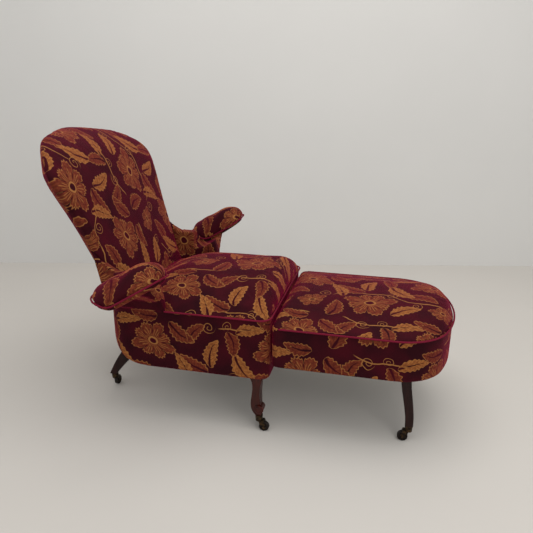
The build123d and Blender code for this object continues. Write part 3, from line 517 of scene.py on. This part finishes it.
def stuff(piece, held, limit, pressure=4.0):
    # the cloth swells over its stuffing, held along its seams
    start = points(piece)
    pin = piece.vertex_groups.new(name="seam")
    pin.add([int(i) for i in np.nonzero(held)[0]], 1.0, "REPLACE")
    swell = piece.modifiers.new("stuffing", "CLOTH")
    swell.settings.use_pressure = True
    swell.settings.uniform_pressure_force = pressure
    swell.settings.effector_weights.gravity = 0
    swell.settings.vertex_group_mass = "seam"
    swell.settings.tension_stiffness = 12
    swell.settings.quality = 3
    scene = bpy.context.scene
    for step in range(1, 13):
        scene.frame_set(step)
    depsgraph = bpy.context.evaluated_depsgraph_get()
    swollen = piece.evaluated_get(depsgraph).to_mesh()
    end = np.empty(len(swollen.vertices) * 3, np.float32)
    swollen.vertices.foreach_get("co", end)
    move = end.reshape(-1, 3) - start
    size = np.linalg.norm(move, axis=1, keepdims=True)
    move *= np.minimum(1.0, limit / np.maximum(size, 1e-9))
    piece.modifiers.clear()
    piece.vertex_groups.clear()
    scene.frame_set(1)
    movePoints(piece, start + move)


def plump(piece, seam, rise, reach):
    # lifts the crown most at one reach inside its seam
    spots = points(piece)
    rim = spots[np.abs(spots[:, 2] - seam) < 0.003]
    tree = kdtree.KDTree(len(rim))
    for index, spot in enumerate(rim):
        tree.insert((spot[0], spot[1], 0), index)
    tree.balance()
    above = np.nonzero(spots[:, 2] > seam + 0.002)[0]
    away = np.array([tree.find((spots[i, 0], spots[i, 1], 0))[2] for i in above]) / reach
    started = np.clip((spots[above, 2] - seam) / 0.02, 0, 1)
    spots[above, 2] += rise * started * away * np.exp(1 - away)
    movePoints(piece, spots)


def layCloth(piece, along, across):
    # where each point lies on the flat cloth, in metres
    place = np.column_stack((along, across, np.zeros(len(along)))).astype(np.float32)
    piece.data.attributes.new("clothPlace", "FLOAT_VECTOR", "POINT").data.foreach_set("vector", place.ravel())


def finish(piece, slotName, body, replaced):
    piece.data.materials.clear()
    piece.data.materials.append(finishes[slotName])
    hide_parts(*replaced)
    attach(piece, body)


def aroundPlan(spots, low, high, frontRadius, rearRadius):
    # distance round a rounded plan, from one side over the front to the other
    x, y = spots[:, 0], spots[:, 1]
    half = (high.y - low.y) / 2
    away = np.abs(y)
    frontX, frontY = high.x - frontRadius, half - frontRadius
    rearX, rearY = low.x + rearRadius, half - rearRadius
    run = x.copy()
    ahead = x > frontX
    turn = np.arctan2(np.maximum(x - frontX, 0), np.maximum(away - frontY, 0) + 1e-9)
    run[ahead] = (frontX + frontRadius * turn)[ahead]
    run[ahead] += np.maximum(frontY - away, 0)[ahead]
    behind = x < rearX
    turn = np.arctan2(np.maximum(rearX - x, 0), np.maximum(away - rearY, 0) + 1e-9)
    run[behind] = (rearX - rearRadius * turn)[behind]
    run[behind] -= np.maximum(rearY - away, 0)[behind]
    middle = frontX + frontRadius * math.pi / 2 + frontY
    return np.where(y > 0, 2 * middle - run, run)


def topPlan(spots, low, high, steepness):
    # seat tops, let out a little where they fall away to the seam
    drop = high.z - spots[:, 2]
    middleX, halfX, halfY = (low.x + high.x) / 2, (high.x - low.x) / 2, (high.y - low.y) / 2
    alongShare = (spots[:, 0] - middleX) / halfX
    acrossShare = spots[:, 1] / halfY
    return (
        spots[:, 0] + steepness * drop * np.sign(alongShare) * np.abs(alongShare) ** 3,
        spots[:, 1] + steepness * drop * np.sign(acrossShare) * np.abs(acrossShare) ** 3,
    )


# Seat cushion
seatCushion = {
    "voxel": 0.005, "passes": 8, "swell": 0.004, "seam": 0.385, "plump": 0.012, "plumpReach": 0.036,
    "tuckFrom": -0.50, "tuckRun": 0.20, "tuckLeft": 0.15, "letOut": 0.5, "patternAlong": 0.060, "patternAcross": 0.105,
    "fill": 0.85,
}


def makeSeat():
    piece = cloneSolids("seatCushion", ["seat_pad"])
    relax(piece, seatCushion["voxel"], seatCushion["passes"])
    plump(piece, seatCushion["seam"], seatCushion["plump"], seatCushion["plumpReach"])
    # the crown sinks where the seat tucks in between the arms and the back
    spots = points(piece)
    share = np.clip((spots[:, 0] - seatFrontX - seatCushion["tuckFrom"]) / seatCushion["tuckRun"], 0, 1)
    share = seatCushion["tuckLeft"] + (1 - seatCushion["tuckLeft"]) * share ** 2 * (3 - 2 * share)
    crown = np.maximum(spots[:, 2] - seatCushion["seam"], 0)
    spots[:, 2] -= crown * (1 - share)
    movePoints(piece, spots)
    stuff(piece, points(piece)[:, 2] < seatCushion["seam"] + seamBand, seatCushion["swell"])
    low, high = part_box("seat_pad")
    along, across = topPlan(points(piece), low, high, seatCushion["letOut"])
    layCloth(piece, along + seatCushion["patternAlong"], across + seatCushion["patternAcross"])
    finish(piece, "floral_cover", "chair", ["seat_pad"])


# Back: inside and outside joined over the rolled top
backCushion = {
    "voxel": 0.005, "passes": 9, "foot": (-0.488, 0.385), "lean": 19.5, "straight": 0.391, "roll": 0.224,
    "heldBelow": 0.42, "swell": 0.004, "patternAlong": 0.10, "patternAcross": 0.02, "fill": 0.8,
}


def makeBack():
    sources = ["back_pad", "outside_back"]
    piece = cloneSolids("backCushion", sources)
    relax(piece, backCushion["voxel"], backCushion["passes"])
    spots = points(piece)
    stuff(piece, spots[:, 2] < backCushion["heldBelow"], backCushion["swell"])
    lean = math.radians(backCushion["lean"])
    footX = seatFrontX + backCushion["foot"][0]
    along = (spots[:, 0] - footX) * -math.sin(lean) + (spots[:, 2] - backCushion["foot"][1]) * math.cos(lean)
    kneeX = footX - backCushion["straight"] * math.sin(lean)
    kneeZ = backCushion["foot"][1] + backCushion["straight"] * math.cos(lean)
    centreX = kneeX - backCushion["roll"] * math.cos(lean)
    centreZ = kneeZ - backCushion["roll"] * math.sin(lean)
    turned = np.arctan2(spots[:, 2] - centreZ, spots[:, 0] - centreX) - lean
    along = np.where(along > backCushion["straight"], backCushion["straight"] + backCushion["roll"] * turned, along)
    layCloth(piece, along + backCushion["patternAlong"], spots[:, 1] + backCushion["patternAcross"])
    finish(piece, "floral_cover", "chair", sources)


# Cover of the seat's sides, front and rear, in one with the arms below their pads
bodyCover = {
    "voxel": 0.004, "passes": 6, "frontRadius": 0.032, "rearRadius": 0.080, "fill": 0.95,
    "patternAlong": 0.13, "patternAcross": -0.02, "armAbove": 0.392, "armSlant": 0.8,
    # each tuck: its place behind the seat's front, out and up, and its half sizes
    "tucks": [((-0.441, 0.335, 0.446), (0.024, 0.022, 0.026)), ((-0.486, 0.264, 0.398), (0.036, 0.020, 0.030))],
    "wingFoot": 0.43, "wingTip": 0.60, "wingWide": 0.290, "wingThin": 0.256, "wingFront": 0.480,
}


def makeBodyCover():
    sources = ["front_border", "rear_border"]
    sources += [part + side for part in ("side_border_", "arm_cover_", "arm_frame_") for side in ("left", "right")]
    piece = cloneSolids("bodyCover", sources)
    # tucks of cloth close the folds below the rear end of each pad and in the seat's rear corners
    shape = bmesh.new()
    shape.from_mesh(piece.data)
    for side in (-1, 1):
        for (x, y, z), size in bodyCover["tucks"]:
            place = Matrix.Translation((seatFrontX + x, side * y, z)) @ Matrix.Diagonal((*size, 1))
            bmesh.ops.create_icosphere(shape, subdivisions=2, radius=1, matrix=place)
    shape.to_mesh(piece.data)
    shape.free()
    relax(piece, bodyCover["voxel"], bodyCover["passes"])
    spots = points(piece)
    # the wings thin out as they run up the edge of the back
    rise = np.clip((spots[:, 2] - bodyCover["wingFoot"]) / (bodyCover["wingTip"] - bodyCover["wingFoot"]), 0, 1)
    limit = bodyCover["wingWide"] + rise * (bodyCover["wingThin"] - bodyCover["wingWide"])
    wing = (spots[:, 0] < seatFrontX - bodyCover["wingFront"]) & (spots[:, 2] > bodyCover["wingFoot"])
    spots[:, 1] = np.where(wing, np.clip(spots[:, 1], -limit, limit), spots[:, 1])
    movePoints(piece, spots)
    low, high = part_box("rear_border")[0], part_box("front_border")[1]
    run = aroundPlan(spots, low, high, bodyCover["frontRadius"], bodyCover["rearRadius"])
    middle = high.x - bodyCover["frontRadius"] * (2 - math.pi / 2) + (high.y - low.y) / 2
    # on the arms the cloth is slanted outwards too, so their fronts don't streak
    side = spots[:, 0] + bodyCover["armSlant"] * (np.abs(spots[:, 1]) - 0.3)
    side = np.where(spots[:, 1] > 0, 2 * middle - side, side)
    run = np.where(spots[:, 2] > bodyCover["armAbove"], side, run)
    layCloth(piece, run + bodyCover["patternAlong"], spots[:, 2] + bodyCover["patternAcross"])
    finish(piece, "floral_cover", "chair", sources)


# Arm pads: domed rolls on their boards
armPads = {
    "voxel": 0.004, "passes": 8, "swell": 0.003, "slice": 0.008,
    "middle": 0.009, "middleAt": 0.55, "middleReach": 0.17, "tail": 0.010, "tailAt": 0.12, "tailReach": 0.12,
    "spread": 0.085, "tilt": 31, "patternAlong": 0.20, "patternAcross": 0.12, "fill": 0.85,
}


def makeArmPad(side):
    source = "arm_pad_" + side
    piece = cloneSolids("armCushion_" + side, [source])
    relax(piece, armPads["voxel"], armPads["passes"])
    spots = points(piece)
    low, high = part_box(source)
    # height of each point above the lowest one in its slice
    slices = np.clip(((spots[:, 0] - low.x) / armPads["slice"]).astype(int), 0, None)
    floor = np.full(slices.max() + 1, np.inf)
    np.minimum.at(floor, slices, spots[:, 2])
    rise = spots[:, 2] - floor[slices]
    # fuller in the middle and lower at the tail
    share = (spots[:, 0] - low.x) / (high.x - low.x)
    change = armPads["middle"] * np.exp(-(((share - armPads["middleAt"]) / armPads["middleReach"]) ** 2))
    change -= armPads["tail"] * np.exp(-(((share - armPads["tailAt"]) / armPads["tailReach"]) ** 2))
    spots[:, 2] += change * np.clip(rise / 0.06, 0, 1)
    movePoints(piece, spots)
    stuff(piece, rise < seamBand, armPads["swell"])
    out = spots[:, 1] - (low.y + high.y) / 2
    turn = np.arctan2(rise + 0.02, out)
    tilt = math.radians(armPads["tilt"]) * 0.8
    along = spots[:, 0] * math.cos(tilt) + floor[slices] * math.sin(tilt)
    layCloth(piece, along + armPads["patternAlong"], armPads["patternAcross"] - armPads["spread"] * turn)
    finish(piece, "floral_cover", "chair", [source])


# Footstool: crowned pad and one band of cover round it
stool = {
    "voxel": 0.005, "passes": 8, "swell": 0.004, "seam": 0.364, "plump": 0.006, "plumpReach": 0.035,
    "letOut": 0.5, "patternAlong": 0.075, "patternAcross": 0.20, "fill": 0.85,
}
stoolBand = {
    "voxel": 0.003, "passes": 5, "nearRadius": 0.022, "endRadius": 0.20,
    "patternAlong": 0.05, "patternAcross": 0.04, "fill": 0.95,
}


def makeStool():
    pad = cloneSolids("stoolCushion", ["stool_pad"])
    relax(pad, stool["voxel"], stool["passes"])
    plump(pad, stool["seam"], stool["plump"], stool["plumpReach"])
    stuff(pad, points(pad)[:, 2] < stool["seam"] + seamBand, stool["swell"])
    low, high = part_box("stool_pad")
    along, across = topPlan(points(pad), low, high, stool["letOut"])
    layCloth(pad, along + stool["patternAlong"], across + stool["patternAcross"])
    finish(pad, "floral_cover", "stool", ["stool_pad"])
    band = cloneSolids("stoolCover", ["stool_border"])
    relax(band, stoolBand["voxel"], stoolBand["passes"])
    spots = points(band)
    low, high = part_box("stool_border")
    run = aroundPlan(spots, low, high, stoolBand["endRadius"], stoolBand["nearRadius"])
    layCloth(band, run + stoolBand["patternAlong"], spots[:, 2] + stoolBand["patternAcross"])
    finish(band, "floral_cover", "stool", ["stool_border"])


# Pipings: round cords in place of the plain ones
def makePipings():
    for source in ("seat_piping", "stool_piping", "arm_piping_left", "arm_piping_right"):
        piece = cloneSolids("cord_" + source, [source])
        relax(piece, piping["voxel"], piping["passes"])
        finish(piece, "piping", bodyOfNode[source], [source])


makeSeat()
makeBack()
makeBodyCover()
makeArmPad("left")
makeArmPad("right")
makeStool()
makePipings()
print("soft pieces made")

# Carving on the front legs: a raised spiral on each face of the scroll
scroll = {
    "fromSeatFront": -0.029, "height": 0.080, "outY": 0.256, "half": 0.0152,
    "radius": 0.0125, "shrink": 0.42, "turns": 1.4, "steps": 28, "bead": 0.0011,
}


def ridge(name, spots, bead, body, slotName):
    data = bpy.data.curves.new(name, "CURVE")
    data.dimensions = "3D"
    data.bevel_depth = bead
    data.bevel_resolution = 3
    line = data.splines.new("NURBS")
    line.points.add(len(spots) - 1)
    for spot, place in zip(line.points, spots):
        spot.co = (*place, 1)
    line.order_u = 3
    line.use_endpoint_u = True
    piece = bpy.data.objects.new(name, data)
    bpy.context.scene.collection.objects.link(piece)
    data.materials.append(finishes[slotName])
    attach(piece, body)


def carveScrolls():
    for side, sign in (("left", 1), ("right", -1)):
        for face in (-1, 1):
            spots = []
            for step in range(scroll["steps"] + 1):
                share = step / scroll["steps"]
                turn = share * scroll["turns"] * 2 * math.pi + math.pi / 2
                reach = scroll["radius"] * (1 - scroll["shrink"] * share)
                x = seatFrontX + scroll["fromSeatFront"] + reach * math.cos(turn)
                z = scroll["height"] + reach * math.sin(turn)
                spots.append((x, sign * scroll["outY"] + face * scroll["half"], z))
            name = f"scrollRidge_{side}_{'out' if face > 0 else 'in'}"
            ridge(name, spots, scroll["bead"], "chair", "carved_leg")


# Riveted ends of the castor axles
rivet = {"radius": 0.0034, "height": 0.0016}


def addRivets():
    flat = rivet["height"] / rivet["radius"]
    for name in [n for n in nodes if n.startswith("castor_fork_")]:
        wheelLow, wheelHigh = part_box(name.replace("fork", "wheel"))
        low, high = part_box(name)
        centre = (wheelLow + wheelHigh) / 2
        acrossX = (wheelHigh.x - wheelLow.x) < (wheelHigh.y - wheelLow.y)
        for end, outer in (("a", low), ("b", high)):
            shape = bmesh.new()
            bmesh.ops.create_uvsphere(shape, u_segments=20, v_segments=10, radius=rivet["radius"])
            bmesh.ops.scale(shape, vec=(flat, 1, 1) if acrossX else (1, flat, 1), verts=shape.verts)
            mesh = bpy.data.meshes.new("rivet")
            shape.to_mesh(mesh)
            shape.free()
            mesh.shade_smooth()
            mesh.materials.append(finishes["castor_metal"])
            piece = bpy.data.objects.new(f"rivet_{name.removeprefix('castor_fork_')}_{end}", mesh)
            bpy.context.scene.collection.objects.link(piece)
            place = (outer.x, centre.y, centre.z) if acrossX else (centre.x, outer.y, centre.z)
            mesh.transform(Matrix.Translation(place))
            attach(piece, bodyOfNode[name])


carveScrolls()
addRivets()

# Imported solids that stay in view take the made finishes
slotOfNode = {part["node"]: part["material_slot"] for part in frame["record"]["subparts"]}
for node, solid in nodes.items():
    solid.data.materials.clear()
    solid.data.materials.append(finishes[slotOfNode[node]])
print("carving, rivets and finishes fitted")

# Pale floor and wall, a broad soft light above and a weaker one in front
room = {
    "floor": colour(0.765, 0.742, 0.710), "wall": colour(0.805, 0.795, 0.775), "patchShade": 0.93,
    "wallFromCamera": 3.20, "wallHeight": 6.0, "size": 14.0, "sky": (0.95, 0.97, 1.0, 1), "world": 0.80,
}
lamps = [
    {"name": "overhead", "at": (0.4, -0.3, 3.0), "towards": (0.1, 0, 0.3), "size": 2.6, "power": 47},
    {"name": "front", "at": (1.9, -3.0, 1.9), "towards": (0, 0, 0.4), "size": 2.2, "power": 37},
]


def addRoom():
    half = room["size"] / 2
    yaw = math.radians(camera["yaw"])
    level = Vector((-math.sin(yaw), math.cos(yaw), 0))
    right = Vector((math.cos(yaw), math.sin(yaw), 0)) * half
    eye = Vector((camera["fromSeatFront"][0] + seatFrontX, camera["fromSeatFront"][1], 0))
    foot = eye + level * room["wallFromCamera"]
    top = Vector((0, 0, room["wallHeight"]))
    for name, corners in (
        ("floor", [(-half, -half, 0), (half, -half, 0), (half, half, 0), (-half, half, 0)]),
        ("wall", [foot - right, foot + right, foot + right + top, foot - right + top]),
    ):
        mesh = bpy.data.meshes.new(name)
        mesh.from_pydata(corners, [], [(0, 1, 2, 3)])
        material, s, surface = newMaterial(name + "Paint", Roughness=0.85)
        place = s.add("ShaderNodeTexCoord").outputs["Object"]
        patch = s.noise(place, 1.6, 4.0).outputs["Fac"]
        darker = tuple(c * room["patchShade"] for c in room[name][:3]) + (1,)
        s.feed(surface.inputs["Base Color"], s.mix(patch, darker, room[name]))
        if name == "wall":
            # nothing of the wall is seen from behind it, so it hides no rear view
            behind = s.add("ShaderNodeNewGeometry").outputs["Backfacing"]
            clear = s.add("ShaderNodeBsdfTransparent")
            either = s.add("ShaderNodeMixShader", {0: behind, 1: surface.outputs[0], 2: clear.outputs[0]})
            s.feed(material.node_tree.nodes["Material Output"].inputs["Surface"], either.outputs[0])
        mesh.materials.append(material)
        plane = bpy.data.objects.new(name, mesh)
        bpy.context.scene.collection.objects.link(plane)
    world = bpy.data.worlds.new("room")
    world.use_nodes = True
    background = world.node_tree.nodes["Background"]
    background.inputs["Color"].default_value = room["sky"]
    background.inputs["Strength"].default_value = room["world"]
    bpy.context.scene.world = world


def addLamps():
    for facts in lamps:
        data = bpy.data.lights.new(facts["name"], "AREA")
        data.energy = facts["power"]
        data.size = facts["size"]
        lamp = bpy.data.objects.new(facts["name"], data)
        lamp.location = facts["at"]
        aim = Vector(facts["towards"]) - Vector(facts["at"])
        lamp.rotation_euler = aim.to_track_quat("-Z", "Y").to_euler()
        bpy.context.scene.collection.objects.link(lamp)


addCamera()
addRoom()
addLamps()
bpy.context.scene.view_settings.view_transform = "Standard"
print("camera, room and lamps set")
